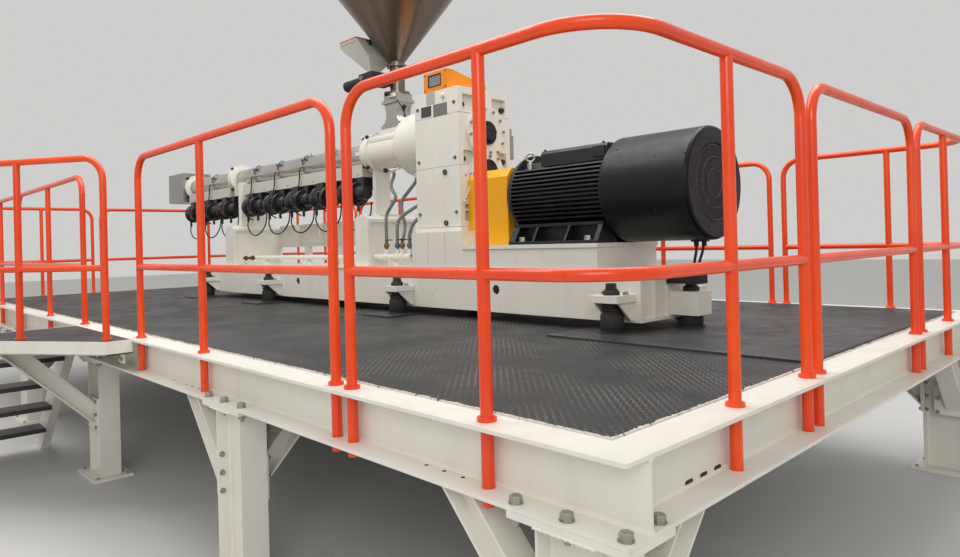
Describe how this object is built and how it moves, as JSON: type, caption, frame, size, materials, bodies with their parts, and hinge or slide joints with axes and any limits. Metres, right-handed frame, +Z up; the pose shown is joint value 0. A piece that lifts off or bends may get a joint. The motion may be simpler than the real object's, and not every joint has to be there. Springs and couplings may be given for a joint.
{
  "type": "plastic extruder",
  "caption": "Single-screw plastic extruder on a raised steel platform with tubular guard rails, a corner landing and an open stair, built as an assembly of separate parts",
  "frame": {"origin": "middle of the whole plan at floor level, under the platform", "axes": "+X along the machine from the screen changer to the motor, +Y across the machine away from the stair, +Z up"},
  "size_m": [8.8, 4.79, 4.0145],
  "materials": {
    "white_paint": "semi-gloss off-white paint, worn at edges",
    "orange_paint": "gloss orange paint",
    "dark_plate": "dark grey painted plate",
    "black_paint": "satin black paint",
    "black_rubber": "matt rubber",
    "stainless": "bright stainless sheet",
    "yellow_paint": "gloss yellow paint",
    "amber_paint": "gloss amber paint",
    "grey_paint": "grey paint"
  },
  "bodies": {
    "root": {"front_beam": "white_paint", "rear_beam": "white_paint", "cross_beams": "white_paint", "deck_plate": "dark_plate", "floor_plates": "dark_plate", "front_columns": "white_paint", "rear_columns": "white_paint", "front_knee_braces": "white_paint", "rear_knee_braces": "white_paint", "front_rails": "orange_paint", "near_corner_rails": "orange_paint", "side_rails": "orange_paint", "far_corner_rails": "orange_paint", "rear_rails": "orange_paint", "landing_frame": "white_paint", "landing_deck": "dark_plate", "landing_rails": "orange_paint", "stair_stringers": "white_paint", "stair_treads": "dark_plate", "base_frame": "white_paint", "mount_brackets": "white_paint", "levelling_mounts": "black_rubber", "motor_plinth": "white_paint", "gearbox_pedestal": "white_paint", "feed_support": "white_paint", "barrel_support": "white_paint", "motor_body": "black_paint", "motor_cowl": "black_paint", "terminal_box": "black_paint", "coupling_guard": "yellow_paint", "gearbox_housing": "white_paint", "bearing_covers": "black_paint", "oil_pump": "grey_paint", "control_box": "amber_paint", "feed_housing": "white_paint", "feed_throat": "stainless", "hopper": "stainless", "doser_hopper": "grey_paint", "doser_drive": "black_paint", "barrel": "stainless", "barrel_covers": "stainless", "barrel_clamps": "stainless", "wiring_trunk": "grey_paint", "cooling_blowers": "black_paint", "screen_changer": "stainless", "water_manifold": "white_paint", "rear_panel": "white_paint", "water_hoses": "grey_paint", "black_leads": "black_rubber", "cable_box": "black_paint"}
  },
  "joints": []
}
